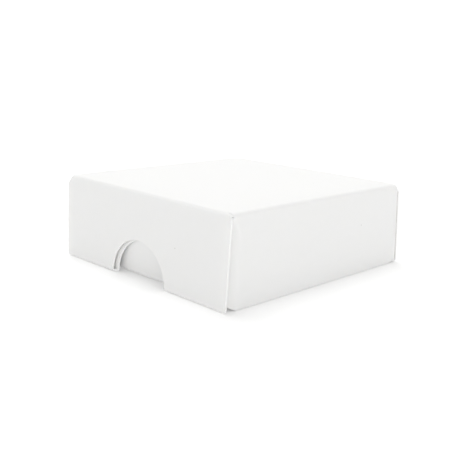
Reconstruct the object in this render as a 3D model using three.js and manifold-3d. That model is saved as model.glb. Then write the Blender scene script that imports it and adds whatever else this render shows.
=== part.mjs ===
// A two-piece jewellery gift box folded from boxboard: a full-depth lid over a base tray of the same
// construction, with a flocked foam pad inside. Millimetres, +Z up, the front faces -Y, and the
// origin is on the ground under the middle of the box.

import * as THREE from 'three';
import { mergeVertices } from 'three/addons/utils/BufferGeometryUtils.js';
import Module from 'manifold-3d';

// Lid, outside
const lidWidth = 78;
const lidDepth = 83;
const lidHeight = 28;

// Boxboard and its folds
const board = 0.6;
const creaseRadius = 0.8; // outside of a scored crease
const turnRadius = 0.8; // outside of the two creases that roll a wall over
const cornerBend = 3.25; // outside of the soft bend from a side wall into its flap

// Front and back walls, rolled over into two layers
const pocket = 1; // clear space between the layers
const turnInset = 0.5; // the turned edge stops this far short of the side
const notchRadius = 12.7; // half of a one-inch thumb punch
const notchLeg = 0.5; // straight part of the notch below its arch

// Corner flaps, tucked into the pockets
const flapReach = 17; // flat length past the bend
const flapRise = 1.9; // the flap's free edge stands this far back from the wall's
const flapRamp = 2.5; // length over which that edge leaves the wall's
const flapTaper = 3; // cut-off corners at the flap's end

// Clearances
const edgeGap = 0.3; // between a free edge and the board next to it
const lidClearance = 1.1; // all round, between the lid's inside and the base
const rimClearance = 0.5; // between the base's rim and the lid's top
const padClearance = 0.5; // all round, between the pad and the base's inside

// Pad
const foamHeight = 10;
const facingThickness = 0.5;
const padCorner = 3;

// What follows from them
const doubleWall = 2 * board + pocket;
const flapSlip = (pocket - board) / 2;
const cornerInset = board + flapSlip + cornerBend; // where a side wall's flat part ends
const baseWidth = lidWidth - 2 * (board + lidClearance);
const baseDepth = lidDepth - 2 * (doubleWall + lidClearance);
const baseHeight = lidHeight - board - rimClearance;

const overcut = 1; // how far a cutter runs past the board it cuts
const quarterTurn = Math.PI / 2;
const arcSegments = 6;
const notchSegments = 24;

const boardFinish = { color: 0xf2f2f0, roughness: 0.55, metalness: 0 };
const foamFinish = { color: 0xe6e3dc, roughness: 0.95, metalness: 0 };
const flockFinish = { color: 0xeae6df, roughness: 1, metalness: 0 };

const manifold = await Module();
manifold.setup();

function toSolid(geometry) {
  const bare = geometry.clone();
  bare.deleteAttribute('normal');
  bare.deleteAttribute('uv');
  const merged = mergeVertices(bare);
  const mesh = new manifold.Mesh({
    numProp: 3,
    vertProperties: new Float32Array(merged.attributes.position.array),
    triVerts: new Uint32Array(merged.index.array),
  });
  return new manifold.Manifold(mesh);
}

function toGeometry(solid) {
  const mesh = solid.getMesh();
  const geometry = new THREE.BufferGeometry();
  geometry.setAttribute('position', new THREE.BufferAttribute(mesh.vertProperties, mesh.numProp));
  geometry.setIndex(new THREE.BufferAttribute(mesh.triVerts, 1));
  geometry.computeVertexNormals();
  return geometry;
}

function cutAway(geometry, cutters) {
  let solid = toSolid(geometry);
  for (const cutter of cutters) {
    solid = solid.subtract(toSolid(cutter));
  }
  return toGeometry(solid);
}

function trimTo(geometry, outline) {
  return toGeometry(toSolid(geometry).intersect(toSolid(outline)));
}

function polygon(points) {
  return new THREE.Shape(points.map(([x, y]) => new THREE.Vector2(x, y)));
}

function mirroredShape(shape, curveSegments) {
  return new THREE.Shape(shape.getPoints(curveSegments).map((p) => new THREE.Vector2(-p.x, p.y)));
}

function extruded(shape, depth, curveSegments = arcSegments) {
  return new THREE.ExtrudeGeometry(shape, { depth, curveSegments, bevelEnabled: false });
}

// A section drawn as (inward, up) runs along X, centred on it.
function alongWall(section, length) {
  const cyclic = new THREE.Matrix4().set(0, 0, 1, -length / 2, 1, 0, 0, 0, 0, 1, 0, 0, 0, 0, 0, 1);
  return extruded(section, length).applyMatrix4(cyclic);
}

// An outline drawn as (along, up) runs inwards through the wall, from one y to another.
function throughWall(outline, fromY, toY, curveSegments = arcSegments) {
  return extruded(outline, toY - fromY, curveSegments).rotateX(quarterTurn).translate(0, toY, 0);
}

// An outline drawn as (inward, up) runs along X from one x to another.
function acrossFlap(outline, fromX, toX) {
  return alongWall(outline, toX - fromX).translate((fromX + toX) / 2, 0, 0);
}

function piece(name, geometry, finish) {
  const mesh = new THREE.Mesh(geometry, new THREE.MeshStandardMaterial(finish));
  mesh.name = name;
  return mesh;
}

// One layer of wall that curls over at its crease to meet the panel.
function creasedSection(height, lowerEdge) {
  const bendStart = height - creaseRadius;
  const section = new THREE.Shape();
  section.moveTo(0, lowerEdge);
  section.lineTo(0, bendStart);
  section.absarc(creaseRadius, bendStart, creaseRadius, Math.PI, quarterTurn, true);
  section.lineTo(creaseRadius, height - board);
  section.absarc(creaseRadius, bendStart, creaseRadius - board, quarterTurn, Math.PI, false);
  section.lineTo(board, lowerEdge);
  return section;
}

// The turned edge and the inner layer that runs back to the panel.
function turnedSection(height) {
  const inside = turnRadius - board;
  const farBend = doubleWall - turnRadius;
  const freeEdge = height - board - edgeGap;
  const down = 3 * quarterTurn;
  const section = new THREE.Shape();
  section.moveTo(0, turnRadius);
  section.absarc(turnRadius, turnRadius, turnRadius, Math.PI, down, false);
  section.lineTo(farBend, 0);
  section.absarc(farBend, turnRadius, turnRadius, down, 2 * Math.PI, false);
  section.lineTo(doubleWall, freeEdge);
  section.lineTo(doubleWall - board, freeEdge);
  section.lineTo(doubleWall - board, turnRadius);
  section.absarc(farBend, turnRadius, inside, 2 * Math.PI, down, true);
  section.lineTo(turnRadius, board);
  section.absarc(turnRadius, turnRadius, inside, down, Math.PI, true);
  return section;
}

function thumbNotch() {
  const arch = new THREE.Shape();
  arch.moveTo(-notchRadius, -overcut);
  arch.lineTo(-notchRadius, notchLeg);
  arch.absarc(0, notchLeg, notchRadius, Math.PI, 0, true);
  arch.lineTo(notchRadius, -overcut);
  return throughWall(arch, -overcut, doubleWall + overcut, notchSegments);
}

function outerWall(length, height, notched) {
  const wall = alongWall(creasedSection(height, turnRadius), length);
  return cutAway(wall, notched ? [thumbNotch()] : []);
}

// The inner layer stops short of the flaps' bends, which curve through its plane.
function innerWall(length, height, notched) {
  const bendReach = cornerInset - board - pocket;
  const bendInside = cornerBend - board;
  const endInset = cornerBend - Math.sqrt(bendInside ** 2 - bendReach ** 2) + edgeGap;
  const innerHalf = length / 2 - endInset;
  const wall = alongWall(turnedSection(height), length - 2 * turnInset);
  const cutters = [-1, 1].map((end) => {
    const beyond = polygon([
      [end * innerHalf, turnRadius],
      [end * (length / 2 + overcut), turnRadius],
      [end * (length / 2 + overcut), height],
      [end * innerHalf, height],
    ]);
    return throughWall(beyond, board, doubleWall + overcut);
  });
  return cutAway(wall, notched ? [...cutters, thumbNotch()] : cutters);
}

// A side wall keeps its crease up to the corners, and its flat part stops where the bends begin.
function sideWall(length, height) {
  const wall = alongWall(creasedSection(height, 0), length - 2 * creaseRadius);
  const flatHalf = length / 2 - cornerInset;
  const cutters = [-1, 1].map((end) => {
    const beyond = polygon([
      [end * flatHalf, -overcut],
      [end * length, -overcut],
      [end * length, height - creaseRadius],
      [end * flatHalf, height - creaseRadius],
    ]);
    return throughWall(beyond, -overcut, board + overcut);
  });
  return cutAway(wall, cutters);
}

// A flap in its side wall's frame: the bend, then the flat part that lies in the pocket.
function cornerFlap(length, height, end) {
  const bendCentre = length / 2 - cornerInset;
  const outside = bendCentre + cornerBend;
  const tip = cornerBend + flapReach;
  const top = height - creaseRadius - edgeGap;
  const plan = new THREE.Shape();
  plan.moveTo(bendCentre, 0);
  plan.absarc(bendCentre, cornerBend, cornerBend, -quarterTurn, 0, false);
  plan.lineTo(outside, tip);
  plan.lineTo(outside - board, tip);
  plan.lineTo(outside - board, cornerBend);
  plan.absarc(bendCentre, cornerBend, cornerBend - board, 0, -quarterTurn, true);
  const flap = extruded(end > 0 ? plan : mirroredShape(plan, arcSegments), top);

  const elevation = polygon([
    [-overcut, -overcut],
    [cornerBend, -overcut],
    [cornerBend, flapRise],
    [tip - flapTaper, flapRise],
    [tip, flapRise + flapTaper],
    [tip, top - flapTaper],
    [tip - flapTaper, top],
    [-overcut, top],
  ]);
  const trimmed = trimTo(flap, acrossFlap(elevation, -length, length));

  const rampEnd = outside - board;
  const ramp = polygon([
    [end * (rampEnd - flapRamp), -overcut],
    [end * (rampEnd - flapRamp), 0],
    [end * rampEnd, flapRise],
    [end * length, flapRise],
    [end * length, -overcut],
  ]);
  return cutAway(trimmed, [throughWall(ramp, -overcut, tip + overcut)]);
}

// A tray open downwards. Each wall is made in its own frame, outside at y = 0 and inwards along +Y.
function tray({ name, panelName, width, depth, height, notched, plusX, minusX }) {
  const group = new THREE.Group();

  const panel = new THREE.BoxGeometry(width - 2 * creaseRadius, depth - 2 * creaseRadius, board);
  panel.translate(0, 0, height - board / 2);
  group.add(piece(panelName, panel, boardFinish));

  const ends = [
    { side: 'front', turn: 0, y: -depth / 2 },
    { side: 'back', turn: Math.PI, y: depth / 2 },
  ];
  for (const { side, turn, y } of ends) {
    const wall = new THREE.Group();
    wall.add(piece(`${name}_${side}_outer_wall`, outerWall(width, height, notched), boardFinish));
    wall.add(piece(`${name}_${side}_inner_wall`, innerWall(width, height, notched), boardFinish));
    wall.rotation.z = turn;
    wall.position.y = y;
    group.add(wall);
  }

  const sides = [
    { side: plusX, turn: quarterTurn, x: width / 2, flaps: { back: 1, front: -1 } },
    { side: minusX, turn: -quarterTurn, x: -width / 2, flaps: { front: 1, back: -1 } },
  ];
  for (const { side, turn, x, flaps } of sides) {
    const wall = new THREE.Group();
    wall.add(piece(`${name}_${side}_wall`, sideWall(depth, height), boardFinish));
    for (const [nearest, end] of Object.entries(flaps)) {
      wall.add(piece(`${name}_${nearest}_${side}_flap`, cornerFlap(depth, height, end), boardFinish));
    }
    wall.rotation.z = turn;
    wall.position.x = x;
    group.add(wall);
  }
  return group;
}

function roundedRectangle(width, depth, radius) {
  const x = width / 2 - radius;
  const y = depth / 2 - radius;
  const outline = new THREE.Shape();
  outline.absarc(x, y, radius, 0, quarterTurn, false);
  outline.absarc(-x, y, radius, quarterTurn, Math.PI, false);
  outline.absarc(-x, -y, radius, Math.PI, 3 * quarterTurn, false);
  outline.absarc(x, -y, radius, 3 * quarterTurn, 2 * Math.PI, false);
  return outline;
}

function pad() {
  const width = baseWidth - 2 * (board + padClearance);
  const depth = baseDepth - 2 * (doubleWall + padClearance);
  const outline = roundedRectangle(width, depth, padCorner);
  const foam = piece('insert_foam', extruded(outline, foamHeight), foamFinish);
  foam.position.z = board;
  const facing = piece('insert_facing', extruded(outline, facingThickness), flockFinish);
  facing.position.z = board + foamHeight;
  const group = new THREE.Group();
  group.add(foam, facing);
  return group;
}

const lid = tray({
  name: 'lid',
  panelName: 'lid_top_panel',
  width: lidWidth,
  depth: lidDepth,
  height: lidHeight,
  notched: true,
  plusX: 'right',
  minusX: 'left',
});

// The base is the same tray turned over about Y, so its left and right change places.
const base = tray({
  name: 'base',
  panelName: 'base_bottom_panel',
  width: baseWidth,
  depth: baseDepth,
  height: baseHeight,
  notched: false,
  plusX: 'left',
  minusX: 'right',
});
base.rotation.y = Math.PI;
base.position.z = baseHeight;

const group = new THREE.Group();
group.add(base, lid, pad());

export default group;
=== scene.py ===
import math

import bpy
import numpy as np
from mathutils import Matrix, Vector
from mathutils.geometry import delaunay_2d_cdt


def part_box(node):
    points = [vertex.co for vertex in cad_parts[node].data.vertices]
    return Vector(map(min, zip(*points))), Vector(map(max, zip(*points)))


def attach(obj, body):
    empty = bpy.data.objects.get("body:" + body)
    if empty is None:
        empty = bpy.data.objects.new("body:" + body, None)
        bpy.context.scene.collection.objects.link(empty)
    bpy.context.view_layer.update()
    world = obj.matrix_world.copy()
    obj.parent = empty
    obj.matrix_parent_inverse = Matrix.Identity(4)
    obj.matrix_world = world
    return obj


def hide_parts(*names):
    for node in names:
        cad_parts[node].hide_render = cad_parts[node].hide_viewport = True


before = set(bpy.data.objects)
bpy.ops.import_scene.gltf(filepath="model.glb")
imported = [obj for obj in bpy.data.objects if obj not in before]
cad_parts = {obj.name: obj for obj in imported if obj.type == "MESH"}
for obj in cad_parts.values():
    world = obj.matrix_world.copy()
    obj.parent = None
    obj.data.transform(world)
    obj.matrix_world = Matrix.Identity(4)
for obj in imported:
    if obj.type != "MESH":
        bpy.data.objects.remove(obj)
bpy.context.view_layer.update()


# ---------------------------------------------------------------------------------------------
# Camera. It stands off the box's front right corner, a little above the lid, and leans by a
# couple of degrees as a hand-held one does.

sensor_width = 36.0
camera_data = bpy.data.cameras.new("camera")
camera_data.sensor_width = sensor_width
camera_data.lens = 56.7
camera_azimuth = math.radians(44.49)
camera_elevation = math.radians(13.47)
camera_roll = math.radians(1.98)
camera_place = Vector((0.1706, -0.1751, 0.0688))

backwards = Vector((
    math.sin(camera_azimuth) * math.cos(camera_elevation),
    -math.cos(camera_azimuth) * math.cos(camera_elevation),
    math.sin(camera_elevation),
))
level_right = Vector((0, 0, 1)).cross(backwards).normalized()
level_up = backwards.cross(level_right)
lean_right = level_right * math.cos(camera_roll) + level_up * math.sin(camera_roll)
lean_up = level_up * math.cos(camera_roll) - level_right * math.sin(camera_roll)

camera = bpy.data.objects.new("camera", camera_data)
camera_axes = Matrix((lean_right, lean_up, backwards)).transposed().to_4x4()
camera.matrix_world = Matrix.Translation(camera_place) @ camera_axes
bpy.context.scene.collection.objects.link(camera)
bpy.context.scene.camera = camera
bpy.context.scene.view_settings.view_transform = "Standard"


# ---------------------------------------------------------------------------------------------
# Studio. White boards stand all round and a bright white sweep hangs behind the box. Two soft
# lamps hang above it, one of them to the left, and weaker ones shine from the front and right.

class Value:
    """A number in a shader: arithmetic on it adds Math nodes."""

    def __init__(self, nodes, socket):
        self.nodes = nodes
        self.socket = socket

    def math(self, operation, *others, swap=False):
        terms = [self, *others]
        if swap:
            terms.reverse()
        return self.nodes.add("ShaderNodeMath", {"operation": operation}, dict(enumerate(terms)))["Value"]

    def __add__(self, other):
        return self.math("ADD", other)

    def __rsub__(self, other):
        return self.math("SUBTRACT", other, swap=True)

    def __mul__(self, other):
        return self.math("MULTIPLY", other)

    def above(self, level):
        return self.math("GREATER_THAN", level)

    def ramp(self, low, high):
        """0 below low and 1 above high, or the other way round when low is the larger."""
        settings = {"clamp": True, "interpolation_type": "SMOOTHSTEP"}
        sockets = {"Value": self, "From Min": low, "From Max": high}
        return self.nodes.add("ShaderNodeMapRange", settings, sockets)["Result"]

    __radd__ = __add__


class Nodes:
    """A node tree under construction."""

    def __init__(self, tree):
        self.tree = tree

    def put(self, value, socket):
        if isinstance(value, Value):
            self.tree.links.new(value.socket, socket)
        else:
            socket.default_value = value

    def add(self, kind, settings=None, sockets=None):
        made = self.tree.nodes.new(kind)
        for name, setting in (settings or {}).items():
            setattr(made, name, setting)
        for key, value in (sockets or {}).items():
            self.put(value, made.inputs[key])
        return {out.name: Value(self, out) for out in made.outputs if out.enabled}

    def noise(self, vector, scale, detail=2.0, roughness=0.5, stretch=(1, 1, 1)):
        stretched = self.add("ShaderNodeMapping", {}, {"Vector": vector, "Scale": stretch})["Vector"]
        sockets = {"Vector": stretched, "Scale": scale, "Detail": detail, "Roughness": roughness}
        return self.add("ShaderNodeTexNoise", {}, sockets)["Fac"]

    def mix(self, factor, first, second):
        """A colour between two others."""
        made = self.add("ShaderNodeMix", {"data_type": "RGBA"}, {"Factor": factor})
        mixer = made["Result"].socket.node
        colour_inputs = [s for s in mixer.inputs if s.type == "RGBA" and s.enabled]
        for socket, colour in zip(colour_inputs, (first, second)):
            self.put(colour, socket)
        return made["Result"]

    def bump(self, height, distance, strength=1.0):
        sockets = {"Height": height, "Distance": distance, "Strength": strength}
        return self.add("ShaderNodeBump", {}, sockets)["Normal"]


class Finish(Nodes):
    """A material under construction."""

    def __init__(self, name, **constants):
        self.material = bpy.data.materials.new(name)
        self.material.use_nodes = True
        super().__init__(self.material.node_tree)
        self.shader = self.tree.nodes["Principled BSDF"]
        self.set(**constants)

    def set(self, **sockets):
        for name, value in sockets.items():
            self.put(value, self.shader.inputs[name.replace("_", " ")])


world = bpy.data.worlds.new("white_studio")
world.use_nodes = True
world.node_tree.nodes.clear()
bpy.context.scene.world = world
sky = Nodes(world.node_tree)
direction = sky.add("ShaderNodeTexCoord")["Generated"]
behind_box = (-math.sin(camera_azimuth), math.cos(camera_azimuth), 0)
facing_sweep = sky.add(
    "ShaderNodeVectorMath", {"operation": "DOT_PRODUCT"}, {0: direction, 1: behind_box}
)["Value"]
board_strength, sweep_strength, seen_strength = 0.53, 0.73, 1.2
sky_strength = board_strength + facing_sweep.ramp(0.3, 0.95) * sweep_strength
white = (1.0, 0.998, 0.99, 1)
sky_light = sky.add(
    "ShaderNodeBackground", {}, {"Color": white, "Strength": sky_strength}
)["Background"]
sky_seen = sky.add(
    "ShaderNodeBackground", {}, {"Color": (1, 1, 1, 1), "Strength": seen_strength}
)["Background"]
seen = sky.add("ShaderNodeLightPath")["Is Camera Ray"]
sky_mix = sky.add("ShaderNodeMixShader", {}, {0: seen, 1: sky_light, 2: sky_seen})["Shader"]
sky.add("ShaderNodeOutputWorld", {}, {"Surface": sky_mix})

lamps = {
    "overhead_lamp": {"place": (0.0, 0.0, 0.9), "size": 1.0, "power": 1.3},
    "left_lamp": {"place": (-0.2, 0.03, 0.9), "size": 0.5, "power": 2.2},
    "front_lamp": {"place": (0.62, -0.62, 0.3), "size": 0.6, "power": 0.9},
    "right_lamp": {"place": (0.85, -0.12, 0.25), "size": 0.6, "power": 0.45},
}
lamp_target = Vector((0, 0, 0.014))  # half way up the box
for lamp_name, lamp in lamps.items():
    lamp_data = bpy.data.lights.new(lamp_name, "AREA")
    lamp_data.size = lamp["size"]
    lamp_data.energy = lamp["power"]
    lamp_object = bpy.data.objects.new(lamp_name, lamp_data)
    aim = lamp_target - Vector(lamp["place"])
    lamp_object.matrix_world = (
        Matrix.Translation(lamp["place"]) @ aim.to_track_quat("-Z", "Y").to_matrix().to_4x4()
    )
    bpy.context.scene.collection.objects.link(lamp_object)

floor_half = 6.0
floor_mesh = bpy.data.meshes.new("floor")
floor_mesh.from_pydata(
    [(x * floor_half, y * floor_half, 0) for x, y in ((-1, -1), (1, -1), (1, 1), (-1, 1))],
    [],
    [(0, 1, 2, 3)],
)
floor = bpy.data.objects.new("floor", floor_mesh)
bpy.context.scene.collection.objects.link(floor)
floor_finish = Finish(
    "floor_paint_and_glow",
    Base_Color=(0.93, 0.93, 0.93, 1),
    Roughness=1.0,
    Specular_IOR_Level=0.0,
    Emission_Strength=1.0,
)
floor_place = floor_finish.add("ShaderNodeTexCoord")["Object"]
away = floor_finish.add("ShaderNodeVectorMath", {"operation": "LENGTH"}, {0: floor_place})["Value"]
# Painted light: besides its paint, the floor glows by itself, faintly near the box and strongly far from
# it.
near_glow, far_glow = (0.16, 0.16, 0.16, 1), (0.75, 0.75, 0.75, 1)
glow = floor_finish.mix(away.ramp(0.12, 0.6), near_glow, far_glow)
floor_finish.set(Emission_Color=glow)
floor_mesh.materials.append(floor_finish.material)


# ---------------------------------------------------------------------------------------------
# Boxboard. White folding board with a smooth clay coat on its outer face. The back of the sheet
# is bare pulp, and the die leaves a fuzzy white edge where it cuts through the plies. That edge's
# colour is raised to full white, partly the pulp's own white and partly a painted highlight.

bare_board = {
    "Specular_IOR_Level": 0.25,
    "Subsurface_Weight": 0.3,
    "Subsurface_Scale": 0.0007,
    "Subsurface_Radius": (1.0, 0.97, 0.9),
}


def board_coat():
    finish = Finish("board_coat", **(bare_board | {"Specular_IOR_Level": 0.42}))
    flat = finish.add("ShaderNodeUVMap", {"uv_map": "flat_sheet"})["UV"]
    crease = finish.add("ShaderNodeAttribute", {"attribute_name": "crease"})["Fac"]
    edge = finish.add("ShaderNodeAttribute", {"attribute_name": "cut_edge"})["Fac"]

    formation = finish.noise(flat, 34, 3.0, 0.55, (1, 0.6, 1))
    fibres = finish.noise(flat, 240, 3.0, 0.6, (1, 0.25, 1))
    grain = finish.noise(flat, 520, 2.0, 0.5)
    wrinkles = finish.noise(flat, 300, 2.0, 0.6)

    cells = finish.add(
        "ShaderNodeTexVoronoi", {"voronoi_dimensions": "2D"}, {"Vector": flat, "Scale": 4.0}
    )
    lonely = finish.add("ShaderNodeSeparateColor", {}, {"Color": cells["Color"]})["Red"].above(0.66)
    speck = cells["Distance"].ramp(0.009, 0.005) * lonely

    tone = formation.ramp(0.25, 0.75) * 0.6 + fibres.ramp(0.3, 0.7) * 0.4
    paper = finish.mix(tone, (0.897, 0.898, 0.890, 1), (0.906, 0.906, 0.899, 1))
    stressed = finish.mix(crease * wrinkles.ramp(0.45, 0.62) * 0.6, paper, (0.94, 0.94, 0.935, 1))
    rubbed = finish.mix(edge * fibres.ramp(0.4, 0.7) * 0.5, stressed, (0.93, 0.93, 0.925, 1))
    specked = finish.mix(speck * 0.5, rubbed, (0.35, 0.34, 0.31, 1))

    height = grain * 0.3 + fibres * 0.3 + formation * 0.4 + crease * wrinkles * 1.2
    finish.set(
        Base_Color=specked,
        Roughness=0.42 + tone * 0.06 + crease * 0.16 + edge * 0.1,
        Normal=finish.bump(height, 0.00002, 0.3),
    )
    return finish.material


def board_back():
    finish = Finish("board_back", **bare_board)
    flat = finish.add("ShaderNodeUVMap", {"uv_map": "flat_sheet"})["UV"]
    clouds = finish.noise(flat, 42, 4.0, 0.6, (1, 0.6, 1))
    fibres = finish.noise(flat, 210, 4.0, 0.65, (1, 0.3, 1))
    tone = clouds.ramp(0.25, 0.75) * 0.5 + fibres.ramp(0.3, 0.7) * 0.5
    finish.set(
        Base_Color=finish.mix(tone, (0.845, 0.842, 0.828, 1), (0.89, 0.887, 0.875, 1)),
        Roughness=0.78 + tone * 0.1,
        Normal=finish.bump(fibres * 0.7 + clouds * 0.3, 0.00005, 0.6),
    )
    return finish.material


def board_cut():
    finish = Finish("board_cut", **bare_board)
    place = finish.add("ShaderNodeTexCoord")["Object"]
    fuzz = finish.noise(place, 5200, 3.0, 0.7)
    plies = finish.noise(place, 1400, 2.0, 0.5)
    # The cut face is coloured near full white: partly the pulp's own white, partly a painted highlight
    # for the light that the edge catches.
    finish.set(
        Base_Color=finish.mix(plies.ramp(0.3, 0.7), (0.985, 0.985, 0.98, 1), (1.0, 1.0, 1.0, 1)),
        Roughness=0.88 + fuzz * 0.08,
        Normal=finish.bump(fuzz, 0.00004, 0.6),
    )
    return finish.material


board_finishes = [board_coat(), board_back(), board_cut()]


# ---------------------------------------------------------------------------------------------
# Lid. One die-cut blank of folding board. The side walls fold down and their corner flaps turn
# in; the front and back walls fold down over the flaps and roll over at the lower edge, so that
# the flaps are trapped between two layers. A half-round thumb notch is punched through both.

mm = 0.001


def span(*prefixes):
    """The lowest and highest corners, in millimetres, of the CAD nodes whose names start so."""
    corners = [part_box(n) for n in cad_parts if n.startswith(prefixes)]
    low = np.min([np.array(c[0]) for c in corners], axis=0)
    high = np.max([np.array(c[1]) for c in corners], axis=0)
    return low / mm, high / mm


def thickness_of(node, axis):
    low, high = span(node)
    return float(high[axis] - low[axis])


raised_fibres = 0.05  # they and the coating add this much to the sheet
board = thickness_of("lid_top_panel", 2) + raised_fibres
double_wall = thickness_of("lid_front_inner_wall", 1)
crease_radius = 1.15  # outside of a scored fold
turn_radius = 0.75  # outside of each fold of a rolled-over edge
flap_slip = 0.08  # a flap lies this far behind the outer layer
flap_reach = 20.0
edge_bevel = 0.04  # the die rounds the sheet's edge by this much
quarter = math.pi / 2


def folded(steps, along):
    """Follows a section of the sheet: steps are (length, turn), and along is the distance on the
    flat sheet. Gives the distance out, the drop and the heading, which is 0 outwards."""
    out = np.zeros_like(along)
    drop = np.zeros_like(along)
    heading = np.zeros_like(along)
    start = start_out = start_drop = start_heading = 0.0
    for number, (length, turn) in enumerate(steps):
        last = number == len(steps) - 1
        here = along >= start
        run = along[here] - start
        run = run if last else np.minimum(run, length)
        if turn:
            radius = length / turn
            angle = start_heading + run / radius
            out[here] = start_out + radius * (np.sin(angle) - math.sin(start_heading))
            drop[here] = start_drop + radius * (math.cos(start_heading) - np.cos(angle))
            heading[here] = angle
            end_heading = start_heading + turn
            start_out += radius * (math.sin(end_heading) - math.sin(start_heading))
            start_drop += radius * (math.cos(start_heading) - math.cos(end_heading))
            start_heading = end_heading
        else:
            out[here] = start_out + run * math.cos(start_heading)
            drop[here] = start_drop + run * math.sin(start_heading)
            heading[here] = start_heading
            start_out += length * math.cos(start_heading)
            start_drop += length * math.sin(start_heading)
        start += length
    return out, drop, heading


def smooth(low, high, value):
    t = np.clip((value - low) / (high - low), 0, 1)
    return t * t * (3 - 2 * t)


def arc(centre, radii, first, last, count):
    angles = np.linspace(first, last, count)
    return [(centre[0] + radii[0] * math.cos(a), centre[1] + radii[1] * math.sin(a)) for a in angles]


def inset(loop, distance):
    """The loop moved to its left by distance, which is inwards for an anticlockwise one."""
    points = np.array(loop)
    before = points - np.roll(points, 1, axis=0)
    after = np.roll(points, -1, axis=0) - points
    normals = []
    for step in (before, after):
        unit = step / np.linalg.norm(step, axis=1)[:, None]
        normals.append(np.stack([-unit[:, 1], unit[:, 0]], axis=1))
    mitre = normals[0] + normals[1]
    mitre /= np.maximum((mitre * normals[0]).sum(axis=1), 0.5)[:, None]
    return [tuple(p) for p in points + mitre * distance]


def inside(points, loops):
    """Whether each point is inside the outline and outside the holes."""
    odd = np.zeros(len(points), bool)
    x, y = points[:, 0], points[:, 1]
    for loop in loops:
        ends = np.array(loop)
        for (x0, y0), (x1, y1) in zip(ends, np.roll(ends, -1, axis=0)):
            if y0 != y1:
                crosses = (y0 > y) != (y1 > y)
                odd ^= crosses & (x < (x1 - x0) * (y - y0) / (y1 - y0) + x0)
    return odd


def from_border(points, loops):
    """How far each point is from the nearest cut."""
    nearest = np.full(len(points), 99.0)
    for loop in loops:
        ends = np.array(loop)
        for p, q in zip(ends, np.roll(ends, -1, axis=0)):
            step = q - p
            t = np.clip(((points - p) @ step) / (step @ step), 0, 1)
            nearest = np.minimum(nearest, np.linalg.norm(points - p - t[:, None] * step, axis=1))
    return nearest


def stepped(loop, stride):
    """The same closed line with points no more than a stride apart, so that it can bend."""
    points = []
    for (x0, y0), (x1, y1) in zip(loop, loop[1:] + loop[:1]):
        count = math.ceil(math.hypot(x1 - x0, y1 - y0) / stride)
        points += [(x0 + (x1 - x0) * i / count, y0 + (y1 - y0) * i / count) for i in range(count)]
    return points


def die_cut(loops, lines, pitch):
    """Triangles of a flat sheet: loops are its outline and holes, lines are folds that triangles
    may not cross, and pitch is the spacing of the points between them."""
    points, edges = [], []
    bevel_row = 1.6 * edge_bevel
    clear_of_cut = 0.4
    merge_distance = 1e-5

    def add(chain, closed):
        first = len(points)
        points.extend(chain)
        count = len(chain)
        edges.extend((first + i, first + i + 1) for i in range(count - 1))
        if closed:
            edges.append((first + count - 1, first))

    for loop in loops:
        add(loop, True)
        add(inset(loop, bevel_row), True)
    for line in lines:
        add(line, False)
    outline = np.array(loops[0])
    low, high = outline.min(axis=0), outline.max(axis=0)
    columns = np.arange(low[0] + pitch / 2, high[0], pitch)
    rows = np.arange(low[1] + pitch / 2, high[1], pitch)
    grid = np.array([(x, y) for x in columns for y in rows])
    grid = grid[inside(grid, loops)]
    points.extend(map(tuple, grid[from_border(grid, loops) > clear_of_cut]))
    vertices, _, faces, _, _, _ = delaunay_2d_cdt(
        [Vector(p) for p in points], edges, [], 0, merge_distance
    )
    flat = np.array([tuple(v) for v in vertices])
    triangles = np.array(faces)
    triangles = triangles[inside(flat[triangles].mean(axis=1), loops)]
    a, b, c = (flat[triangles[:, i]] for i in range(3))
    area = (b[:, 0] - a[:, 0]) * (c[:, 1] - a[:, 1]) - (b[:, 1] - a[:, 1]) * (c[:, 0] - a[:, 0])
    triangles[area < 0] = triangles[area < 0][:, ::-1]
    used, renumbered = np.unique(triangles, return_inverse=True)
    return flat[used], renumbered.reshape(-1, 3)


def thick_sheet(name, flat, triangles, face, normal, thickness, relax, marks):
    """Gives a sheet its thickness and its die-cut rim, and makes the object. face and normal are
    the places and directions of its outer side; relax moves finished points a little."""
    count = len(flat)
    directed = np.concatenate([triangles[:, [i, (i + 1) % 3]] for i in range(3)])
    keys = {tuple(e) for e in directed.tolist()}
    rim = sorted(e for e in keys if e[::-1] not in keys)
    on_rim = np.zeros(count)
    on_rim[[i for e in rim for i in e]] = edge_bevel
    outer = face - normal * on_rim[:, None]
    inner = face - normal * (thickness - on_rim)[:, None]
    depths = np.concatenate([on_rim, thickness - on_rim])
    places = relax(np.concatenate([outer, inner]), depths) * mm

    faces = [tuple(t) for t in triangles.tolist()]
    faces += [(c + count, b + count, a + count) for a, b, c in triangles.tolist()]
    faces += [(b, a, a + count, b + count) for a, b in rim]
    mesh = bpy.data.meshes.new(name)
    mesh.from_pydata([tuple(p) for p in places], [], faces)
    finishes = [0] * len(triangles) + [1] * len(triangles) + [2] * len(rim)
    mesh.polygons.foreach_set("material_index", finishes)
    mesh.polygons.foreach_set("use_smooth", [True] * len(faces))

    sheet_scale = 0.01  # one unit of the sheet's map is 100 mm
    corner_vertex = np.zeros(len(mesh.loops), int)
    mesh.loops.foreach_get("vertex_index", corner_vertex)
    layer = mesh.uv_layers.new(name="flat_sheet")
    both = np.concatenate([flat, flat]) * sheet_scale
    layer.data.foreach_set("uv", both[corner_vertex].astype(np.float32).ravel())
    for mark, values in marks.items():
        attribute = mesh.attributes.new(mark, "FLOAT", "POINT")
        attribute.data.foreach_set("value", np.concatenate([values, values]).astype(np.float32))
    mesh.set_sharp_from_angle(angle=math.radians(24))
    mesh.update()
    piece = bpy.data.objects.new(name, mesh)
    bpy.context.scene.collection.objects.link(piece)
    return piece


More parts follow.
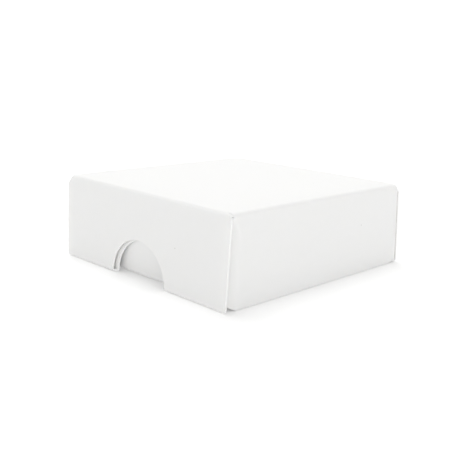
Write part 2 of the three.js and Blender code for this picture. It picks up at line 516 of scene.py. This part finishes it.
class Tray:
    """A folded blank, open downwards unless it is turned over."""

    notch_radii = None  # across and up
    notch_leg = 0.0
    notch_centres = (0.0, 0.0)  # the outer and inner layers' punched holes miss each other
    bends = (3.5, 0.7)  # outside of the soft bends into the front and back corner flaps
    flares = ((0.0, 0.0), (0.0, 0.0))  # front and back walls' lean: left end, right end
    springs = (1.15, 1.15)  # how late, going down, each of those leans comes
    crown = 0.0  # the panel stands this much higher in the middle
    lift = 0.0  # the panel's edges stand back by this much
    bows = (0.0, 0.0, 0.0)  # the front, back and side walls bulge by this much
    nip = 0.0  # the two layers close up by this share between the flaps
    arch = 0.0  # the front and back walls' free edges rise by this much between the corners
    corner_round = 0.8
    side_trim = 0.0  # the side walls stop this far short of the front and back ones
    turned_over = False
    shift = 0.0  # the whole tray sits this far back
    slit = 0.04  # half the width of the die's cut between a wall and the flap beside it
    free_edge = 0.8  # the inner layers stop this far below the panel's outside
    stride = 1.7  # spacing of the points along the cut line
    pitch = 2.3  # and of those inside it

    def __init__(self, name, width, depth, height, **shape):
        self.name = name
        self.half_width, self.half_depth, self.height = width / 2, depth / 2, height
        for key, value in shape.items():
            setattr(self, key, value)
        fold, turn = crease_radius * quarter, turn_radius * quarter
        self.wall_steps = [
            (self.half_depth - crease_radius, 0),
            (fold, quarter),
            (height - crease_radius - turn_radius, 0),
            (turn, quarter),
            (double_wall - 2 * turn_radius, 0),
            (turn, quarter),
            (height - self.free_edge - turn_radius, 0),
        ]
        self.side_steps = [
            (self.half_width - crease_radius, 0),
            (fold, quarter),
            (height - crease_radius - self.side_trim, 0),
        ]
        self.v = np.cumsum([0] + [length for length, _ in self.wall_steps])
        self.u = np.cumsum([0] + [length for length, _ in self.side_steps])
        self.hinge = self.half_depth - board - flap_slip

    def corner_line(self):
        """The cut line of a quarter of the blank, from the side wall's edge to the front's."""
        u, v, hinge, half_width = self.u, self.v, self.hinge, self.half_width
        slit = self.slit
        taper, rise, ramp = 3.0, 1.2, 2.6  # the flap's cut-off end, its raised edge, the way up to it
        past_hinge, flap_neck = 0.3, 0.4
        tip = hinge + flap_reach
        flap_top = u[2] + 0.12
        crease_end = 0.2  # height of the rounded end of the front crease
        wall_round, wall_stop = 1.5, 0.45
        inner_half = half_width - 2.4
        inner_step, inner_round = 0.6, 1.5
        return [
            (u[3], hinge - ramp),
            (u[3] - rise, hinge + past_hinge),
            (u[3] - rise, tip - taper),
            (u[3] - rise - taper, tip),
            (flap_top + taper, tip),
            (flap_top, tip - taper),
            (flap_top, hinge + flap_neck),
            (u[2] + slit, v[1] - slit),
            *arc(
                (u[1] + slit, v[1] + slit + crease_end),
                (half_width - u[1] - slit, crease_end),
                -quarter,
                0,
                8,
            ),
            *arc((half_width - wall_round, v[3] - wall_stop), (wall_round, wall_round), 0, quarter, 7),
            (half_width - wall_round, v[5]),
            (inner_half, v[6] + inner_step),
            (inner_half, v[7] - inner_round),
            (inner_half - inner_round, v[7]),
        ]

    def cut_lines(self):
        quarter_line = self.corner_line()
        back_half = quarter_line + [(-x, y) for x, y in reversed(quarter_line)]
        loops = [stepped(back_half + [(-x, -y) for x, y in back_half], self.stride)]
        if self.notch_radii:
            near = self.v[3] + turn_radius - self.notch_leg
            far = self.v[6] - turn_radius + self.notch_leg
            outer, inner = self.notch_centres
            for way in (-1, 1):
                hole = arc((way * outer, near), self.notch_radii, math.pi, 2 * math.pi, 41)
                hole += arc((way * inner, far), self.notch_radii, 0, math.pi, 41)
                loops.append([(x * way, y * way) for x, y in reversed(hole)])
        return loops

    def fold_lines(self):
        u, v, half_width = self.u, self.v, self.half_width
        short_of_cut, past_crease = 0.08, 0.2
        lines = []
        for way in (-1, 1):
            for first, last, count in ((v[1], v[2], 9), (v[3], v[4], 7), (v[5], v[6], 7)):
                for y in np.linspace(first, last, count):
                    lines.append([(x, way * y) for x in np.linspace(-half_width, half_width, 31)])
            for x in np.linspace(u[1], u[2], 9):
                ends = short_of_cut - v[1], v[1] - short_of_cut
                lines.append([(way * x, y) for y in np.linspace(*ends, 31)])
            for side, bend in zip((-1, 1), self.bends):
                for y in np.linspace(self.hinge - bend, self.hinge + bend, 17):
                    ends = u[2] + past_crease, u[3]
                    lines.append([(way * x, side * y) for x in np.linspace(*ends, 14)])
        return lines

    def shape(self, flat):
        """Where the flat sheet's points go when it is folded up, and which way they face."""
        across, along = np.abs(flat[:, 0]), np.abs(flat[:, 1])
        sign_x, sign_y = np.sign(flat[:, 0]), np.sign(flat[:, 1])
        u, v = self.u, self.v
        past_front_wall = self.half_width + 0.05
        self.on_side = (across > u[1] + self.slit) & ((along < v[1]) | (across > past_front_wall))

        nip_full, nip_gone = 12.0, 18.5  # the flaps' ends hold the layers apart further out
        out, drop, heading = folded(self.wall_steps, along)
        close_up = self.nip * (1 - smooth(nip_full, nip_gone, across)) * (along > v[3])
        out = self.half_depth - (self.half_depth - out) * (1 - close_up)
        face = np.stack([flat[:, 0], sign_y * out, self.height - drop], axis=1)
        normal = np.stack([0 * out, sign_y * np.sin(heading), np.cos(heading)], axis=1)

        out, drop, heading = folded(self.side_steps, across)
        bend = np.where(sign_y < 0, *self.bends)
        tight = 0.5  # radius of a bend where the crease above pins it
        widening, widest = u[2] - 0.4, u[2] + 4.5
        radius = tight + (bend - tight) * smooth(widening, widest, across)
        past = along - self.hinge
        through = np.clip((past + radius) / (2 * radius), 0, 1)
        section = np.linspace(0, 1, 201)
        first_turn, first_end = 0.46, 0.16  # a bend turns at its two ends, flatter in between
        last_turn, last_start = 0.54, 0.6
        turned = quarter * (
            first_turn * smooth(0, first_end, section) + last_turn * smooth(last_start, 1, section)
        )
        gone_in = np.cumsum(np.sin(turned))
        gone_on = np.cumsum(np.cos(turned))
        angle = np.interp(through, section, turned)
        in_bend = np.abs(past) < radius
        inward = radius * np.interp(through, section, gone_in / gone_in[-1])
        inward = np.where(in_bend, inward, np.maximum(past, 0))
        forward = self.hinge - radius + radius * np.interp(through, section, gone_on / gone_on[-1])
        forward = np.where(in_bend, forward, np.minimum(along, self.hinge))
        bent = across > u[2]
        inward, angle = np.where(bent, inward, 0), np.where(bent, angle, 0)
        forward = np.where(bent, forward, along)
        side_face = np.stack([sign_x * (out - inward), sign_y * forward, self.height - drop], axis=1)
        side_normal = np.stack([
            sign_x * np.sin(heading) * np.cos(angle),
            sign_y * np.sin(heading) * np.sin(angle),
            np.cos(heading),
        ], axis=1)
        face[self.on_side] = side_face[self.on_side]
        normal[self.on_side] = side_normal[self.on_side]
        return face, normal

    def relax(self, points, depths):
        """The corners are worn round, the walls spring out from their creases and the panels bow."""
        corner = np.array([self.half_width, self.half_depth, self.height])
        size = np.abs(points)
        worn, unworn = 1.5, 7.0  # distances from a corner between which the wear fades
        softness = 1 - smooth(worn, unworn, np.linalg.norm(corner - size, axis=1))
        radius = crease_radius + self.corner_round * softness
        excess = np.maximum(size - (corner - radius[:, None]), 0)
        reach = np.linalg.norm(excess, axis=1)
        least_radius = 0.05
        allowed = np.maximum(radius - depths, least_radius)
        pull = np.minimum(allowed / np.maximum(reach, 1e-9), 1) - 1
        fade_in = 0.6
        pull *= smooth(0, fade_in, excess[:, 2])
        points = points + np.sign(points) * excess * pull[:, None]

        x, y, z = points.T.copy()
        down = np.clip((self.height - z) / self.height, 0, 1)
        right = np.clip(x / (2 * self.half_width) + 0.5, 0, 1)
        lean = np.where(y < 0, *[a + (b - a) * right for a, b in self.flares])
        middle_x = np.clip(1 - (x / self.half_width) ** 2, 0, 1)
        middle_y = np.clip(1 - (y / self.half_depth) ** 2, 0, 1)
        belly = np.sin(np.pi * down)
        front_band, side_band = 4, 2
        still, springing = 4.8, 2.1  # distances in from a wall between which the spring sets in
        at_front = smooth(self.half_depth - front_band, self.half_depth, np.abs(y))
        at_side = smooth(self.half_width - side_band, self.half_width, np.abs(x))
        sprung = smooth(self.half_depth - still, self.half_depth - springing, np.abs(y))
        y += np.sign(y) * sprung * lean * down ** np.where(y < 0, *self.springs)
        y += np.sign(y) * np.where(y < 0, self.bows[0], self.bows[1]) * belly * middle_x * at_front
        x += np.sign(x) * self.bows[2] * belly * middle_y * at_side
        panel = self.crown * (middle_x + middle_y) / 2 - self.lift * (1 - middle_x * middle_y)
        z += panel * (1 - down) ** 2
        z += self.arch * middle_x * at_front * down ** 3
        if self.turned_over:
            return np.stack([-x, y + self.shift, self.height - z], axis=1)
        return np.stack([x, y + self.shift, z], axis=1)

    def make(self):
        u, v = self.u, self.v
        loops = self.cut_lines()
        flat, triangles = die_cut(loops, self.fold_lines(), self.pitch)
        face, normal = self.shape(flat)
        across, along = np.abs(flat[:, 0]), np.abs(flat[:, 1])
        far_off = 99 * self.on_side
        folds = np.minimum.reduce([
            np.abs(along - (v[1] + v[2]) / 2) + far_off,
            np.abs(along - (v[3] + v[4]) / 2) + far_off,
            np.abs(along - (v[5] + v[6]) / 2) + far_off,
            np.abs(across - (u[1] + u[2]) / 2) + 99 * ~(self.on_side | (along < v[1])),
        ])
        crease_core, crease_reach, edge_reach = 0.3, 1.5, 1.2
        marks = {
            "crease": 1 - smooth(crease_core, crease_reach, folds),
            "cut_edge": 1 - smooth(0.0, edge_reach, from_border(flat, loops)),
        }
        piece = thick_sheet(self.name, flat, triangles, face, normal, board, self.relax, marks)
        for finish in board_finishes:
            piece.data.materials.append(finish)
        return piece


lid_low, lid_high = span("lid_")
lid_lean_room = 1.0  # the creases lie this much closer together, as the walls lean out
lid = Tray(
    "lid_blank",
    width=lid_high[0] - lid_low[0],
    depth=lid_high[1] - lid_low[1] - lid_lean_room,
    height=lid_high[2],
    shift=0.35,
    side_trim=0.25,
    flares=((0.75, 1.35), (2.1, 2.2)),
    springs=(0.8, 0.92),
    crown=0.2,
    bows=(0.1, 0.1, 0.15),
    nip=0.2,
    arch=0.3,
    corner_round=0.6,
    notch_radii=(12.85, 12.4),
    notch_leg=0.4,
    notch_centres=(-0.1, 1.3),
).make()
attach(lid, "lid")
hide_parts(*[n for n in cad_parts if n.startswith("lid_")])


# ---------------------------------------------------------------------------------------------
# Base. The same blank one size smaller and without notches, turned over so that it opens
# upwards. Its rolled-over walls make the rims that the lid slides down over.

base_low, base_high = span("base_")
base_lean_room = 0.3
base_lift = 0.5
base = Tray(
    "base_blank",
    width=base_high[0] - base_low[0],
    depth=base_high[1] - base_low[1] - base_lean_room,
    height=base_high[2],
    flares=((0.7, 0.7), (0.7, 0.7)),
    lift=base_lift,
    bows=(0.65, 0.4, 0.1),
    turned_over=True,
).make()
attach(base, "base")
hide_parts(*[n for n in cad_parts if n.startswith("base_")])


# ---------------------------------------------------------------------------------------------
# Foam pad. A die-cut slab of soft white foam that lies loose in the base. Knife slits, whose lips
# all but touch, hold a ring or a chain: a long one in the middle and two short ones slanting.

foam_low, foam_high = span("insert_foam")
pad_half = (foam_high[:2] - foam_low[:2]) / 2
pad_corner = 3.0
pad_crown = 0.12
cut_sink = 0.3  # the soft top sinks this much towards a cut
sink_reach = 1.6
rim_drop = 0.35  # and its rim is rounded down by this much
rim_width = 1.6
foam_inset = 0.3  # the flats of the top and of the floor stop this far in
slit_gap = 0.5
slit_depth = 6.5
slits = [  # middle, half length and turn of each
    ((0.0, -3.0), 13.0, 0.0),
    ((-25.0, 25.0), 4.5, math.radians(45)),
    ((25.0, 25.0), 4.5, math.radians(-45)),
]


def pad_outline(inwards):
    half_x, half_y = pad_half - inwards
    corner = (pad_corner - inwards, pad_corner - inwards)
    outline = []
    for number, (way_x, way_y) in enumerate(((1, 1), (-1, 1), (-1, -1), (1, -1))):
        centre = (way_x * (half_x - corner[0]), way_y * (half_y - corner[1]))
        outline += arc(centre, corner, number * quarter, (number + 1) * quarter, 9)
    return outline


def slit_outline(middle, half_length, turn):
    t = np.linspace(0, 2 * math.pi, 29)[:-1]
    x, y = half_length * np.cos(t), slit_gap / 2 * np.sin(t)
    c, s = math.cos(turn), math.sin(turn)
    return [(middle[0] + c * a - s * b, middle[1] + s * a + c * b) for a, b in zip(x, y)][::-1]


def pad_rise(flat):
    """How far the pad's top stands above its edge, at points of its plan."""
    x, y = flat.T
    rise = pad_crown * (1 - (x / pad_half[0]) ** 2) * (1 - (y / pad_half[1]) ** 2)
    for middle, half_length, turn in slits:
        along = (x - middle[0]) * math.cos(turn) + (y - middle[1]) * math.sin(turn)
        past_end = np.maximum(np.abs(along) - half_length, 0)
        aside = (y - middle[1]) * math.cos(turn) - (x - middle[0]) * math.sin(turn)
        rise -= cut_sink * np.exp(-(past_end ** 2 + aside ** 2) / sink_reach)
    rim = from_border(flat, [pad_outline(0)])
    return rise - rim_drop * (1 - smooth(0, rim_width, rim)) ** 2


def foam_block():
    cuts = [slit_outline(*slit) for slit in slits]
    top_pitch, floor_pitch = 1.8, 3.0
    top_room, floor_room = 0.1, 0.2
    side_start, side_trim = 0.3, 0.8  # the sides start below the top and stop above the floor
    side_rings = (  # how far down, and how far in, each ring of the slightly waisted side is
        (0.04, 0.08), (0.15, 0.0), (0.4, 0.12), (0.6, 0.14), (0.85, 0.02), (0.96, 0.08),
    )
    top_flat, top_triangles = die_cut([pad_outline(foam_inset), *cuts], [], top_pitch)
    floor_flat, floor_triangles = die_cut([pad_outline(foam_inset)], [], floor_pitch)
    top_height = foam_high[2] - top_room
    floor_height = foam_low[2] + floor_room
    from_middle = floor_flat / pad_half
    panel_curve = base_lift * (1 - (1 - from_middle[:, 0] ** 2) * (1 - from_middle[:, 1] ** 2))
    places = [
        *np.column_stack([top_flat, top_height + pad_rise(top_flat)]),
        *np.column_stack([floor_flat, floor_height + panel_curve]),
    ]
    faces = [tuple(t) for t in top_triangles.tolist()]
    faces += [tuple(i + len(top_flat) for i in t[::-1]) for t in floor_triangles.tolist()]

    def numbers(loop, flat, first):
        return [first + int(np.argmin(np.linalg.norm(flat - p, axis=1))) for p in loop]

    def wall(upper, lower):
        ends = zip(upper, upper[1:] + upper[:1], lower, lower[1:] + lower[:1])
        faces.extend((a, c, d, b) for a, b, c, d in ends)

    rings = [numbers(pad_outline(foam_inset), top_flat, 0)]
    for level, inwards in side_rings:
        outline = pad_outline(inwards)
        rings.append(list(range(len(places), len(places) + len(outline))))
        height = top_height - side_start + level * (floor_height + side_trim - top_height)
        places.extend((x, y, height) for x, y in outline)
    rings.append(numbers(pad_outline(foam_inset), floor_flat, len(top_flat)))
    for upper, lower in zip(rings, rings[1:]):
        wall(upper, lower)
    for cut in cuts:
        lips = numbers(cut, top_flat, 0)
        foot = list(range(len(places), len(places) + len(cut)))
        places.extend((x, y, top_height - slit_depth) for x, y in cut)
        wall(lips, foot)
        faces.append(tuple(foot[::-1]))
    mesh = bpy.data.meshes.new("pad_foam")
    mesh.from_pydata([tuple(float(c) * mm for c in p) for p in places], [], faces)
    mesh.polygons.foreach_set("use_smooth", [True] * len(faces))
    mesh.set_sharp_from_angle(angle=math.radians(50))
    return mesh


def soft_foam():
    finish = Finish(
        "soft_foam",
        Specular_IOR_Level=0.15,
        Subsurface_Weight=0.4,
        Subsurface_Scale=0.0015,
        Subsurface_Radius=(1.0, 0.95, 0.85),
    )
    place = finish.add("ShaderNodeTexCoord")["Object"]
    cells = finish.add("ShaderNodeTexVoronoi", {}, {"Vector": place, "Scale": 2600})["Distance"]
    coarse = finish.add("ShaderNodeTexVoronoi", {}, {"Vector": place, "Scale": 1100})["Distance"]
    cloud = finish.noise(place, 160, 3.0)
    pores = cells.ramp(0.15, 0.75) * 0.6 + coarse.ramp(0.1, 0.7) * 0.4
    # The colour is darker where the pores' bump lies lowest, which is painted shade in the hollows, plus
    # a random cloudy tone.
    painted_pore_shade_and_tone = pores * 0.7 + cloud.ramp(0.3, 0.7) * 0.3
    finish.set(
        Base_Color=finish.mix(painted_pore_shade_and_tone, (0.90, 0.89, 0.86, 1), (0.80, 0.785, 0.745, 1)),
        Roughness=0.9 + cloud * 0.08,
        Normal=finish.bump(1 - pores, 0.00018, 0.8),
    )
    return finish.material


foam = bpy.data.objects.new("pad_foam", foam_block())
bpy.context.scene.collection.objects.link(foam)
foam.data.materials.append(soft_foam())
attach(foam, "insert")
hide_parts("insert_foam")


# ---------------------------------------------------------------------------------------------
# Flocked facing. Thin cloth glued over the foam's top and slit with it. Its pile is short fibres
# shot upright into glue, which lean every way and catch the light like velvet.

_, facing_high = span("insert_facing")
facing_thickness = 0.3
facing_inset = 0.35  # the cloth stops this far in from the pad's edge
facing_room = 0.15  # and lies this far below the frame's facing, to leave room for the pile
facing_pitch = 1.6
pile_length = 0.32
pile_thickness = 0.05
pile_density = 3.6  # fibres to the square millimetre
pile_lean = 0.55
shortest, longest = 0.65, 1.15  # fibres, as shares of the usual length
full_turn = 6.28


def flock(name, shade_scale):
    finish = Finish(
        name,
        Specular_IOR_Level=0.2,
        Sheen_Weight=0.5,
        Sheen_Roughness=0.35,
        Sheen_Tint=(1.0, 0.985, 0.95, 1),
    )
    place = finish.add("ShaderNodeTexCoord")["Object"]
    nap = finish.noise(place, 75, 3.0, 0.55, (1, 0.55, 1))
    fuzz = finish.noise(place, shade_scale, 3.0, 0.65)
    tufts = finish.noise(place, 900, 2.0, 0.5)
    # The nap's broad brush-mark patches make the colour lighter and darker, a painted sheen for the
    # pile's changing lean; the finer fuzz and tufts add a random tone.
    tone = nap.ramp(0.3, 0.7) * 0.45 + fuzz.ramp(0.3, 0.7) * 0.35 + tufts.ramp(0.3, 0.7) * 0.2
    finish.set(
        Base_Color=finish.mix(tone, (0.82, 0.80, 0.765, 1), (0.93, 0.915, 0.885, 1)),
        Roughness=0.86 + nap * 0.1,
        Normal=finish.bump(fuzz * 0.6 + tufts * 0.4, 0.00009, 0.8),
    )
    return finish.material


facing_loops = [pad_outline(facing_inset), *[slit_outline(*slit) for slit in slits]]
facing_flat, facing_triangles = die_cut(facing_loops, [], facing_pitch)
facing_top = facing_high[2] - facing_room + pad_rise(facing_flat)
facing = thick_sheet(
    "pad_facing",
    facing_flat,
    facing_triangles,
    np.column_stack([facing_flat, facing_top]),
    np.tile([0.0, 0.0, 1.0], (len(facing_flat), 1)),
    facing_thickness,
    lambda points, depths: points,
    {"cut_edge": 1 - smooth(0, 1.0, from_border(facing_flat, facing_loops))},
)
flock_ground = flock("flock_ground", 4200)
for _ in range(3):
    facing.data.materials.append(flock_ground)

pile_tree = bpy.data.node_groups.new("flock_pile", "GeometryNodeTree")
pile_inputs = {}
for socket_name, socket_kind in (
    ("Cloth", "NodeSocketGeometry"),
    ("Fibres per square metre", "NodeSocketFloat"),
    ("Fibre length", "NodeSocketFloat"),
    ("Fibre radius", "NodeSocketFloat"),
    ("Lean", "NodeSocketFloat"),
    ("Finish", "NodeSocketMaterial"),
):
    made = pile_tree.interface.new_socket(socket_name, in_out="INPUT", socket_type=socket_kind)
    pile_inputs[socket_name] = made.identifier
pile_tree.interface.new_socket("Pile", in_out="OUTPUT", socket_type="NodeSocketGeometry")
pile = Nodes(pile_tree)
given = pile.add("NodeGroupInput")
spots = pile.add(
    "GeometryNodeDistributePointsOnFaces",
    {"distribute_method": "RANDOM"},
    {"Mesh": given["Cloth"], "Density": given["Fibres per square metre"], "Seed": 7},
)["Points"]
fibre = pile.add(
    "GeometryNodeMeshCone",
    {"fill_type": "TRIANGLE_FAN"},
    {
        "Vertices": 3,
        "Radius Top": 0.0,
        "Radius Bottom": given["Fibre radius"],
        "Depth": given["Fibre length"],
    },
)["Mesh"]


def fibre_draw(lowest, highest, seed):
    sockets = {2: lowest, 3: highest, "Seed": seed}
    return pile.add("FunctionNodeRandomValue", {}, sockets)["Value"]


lean_x = fibre_draw(-1.0, 1.0, 11) * given["Lean"]
lean_y = fibre_draw(-1.0, 1.0, 12) * given["Lean"]
spin = fibre_draw(0.0, full_turn, 13)
size = fibre_draw(shortest, longest, 14)
turned_way = pile.add("ShaderNodeCombineXYZ", {}, {"X": lean_x, "Y": lean_y, "Z": spin})["Vector"]
stood = pile.add(
    "GeometryNodeInstanceOnPoints",
    {},
    {"Points": spots, "Instance": fibre, "Rotation": turned_way, "Scale": size},
)["Instances"]
realized = pile.add("GeometryNodeRealizeInstances", {}, {"Geometry": stood})["Geometry"]
finished = pile.add(
    "GeometryNodeSetMaterial", {}, {"Geometry": realized, "Material": given["Finish"]}
)["Geometry"]
pile.add("NodeGroupOutput", {}, {"Pile": finished})

ground_mesh = bpy.data.meshes.new("pile_ground")
ground = np.column_stack([facing_flat, facing_top]) * mm
ground_mesh.from_pydata([tuple(p) for p in ground], [], [tuple(t) for t in facing_triangles.tolist()])
pile_piece = bpy.data.objects.new("pad_flock_pile", ground_mesh)
bpy.context.scene.collection.objects.link(pile_piece)
grow = pile_piece.modifiers.new("pile", "NODES")
grow.node_group = pile_tree
grow[pile_inputs["Fibres per square metre"]] = pile_density / mm ** 2
grow[pile_inputs["Fibre length"]] = pile_length * mm
grow[pile_inputs["Fibre radius"]] = pile_thickness / 2 * mm
grow[pile_inputs["Lean"]] = pile_lean
grow[pile_inputs["Finish"]] = flock("flock_fibre", 5200)
evaluated = pile_piece.evaluated_get(bpy.context.evaluated_depsgraph_get())
grown = bpy.data.meshes.new_from_object(evaluated)
pile_piece.modifiers.clear()
pile_piece.data = grown
bpy.data.meshes.remove(ground_mesh)

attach(facing, "insert")
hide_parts("insert_facing")
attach(pile_piece, "insert")
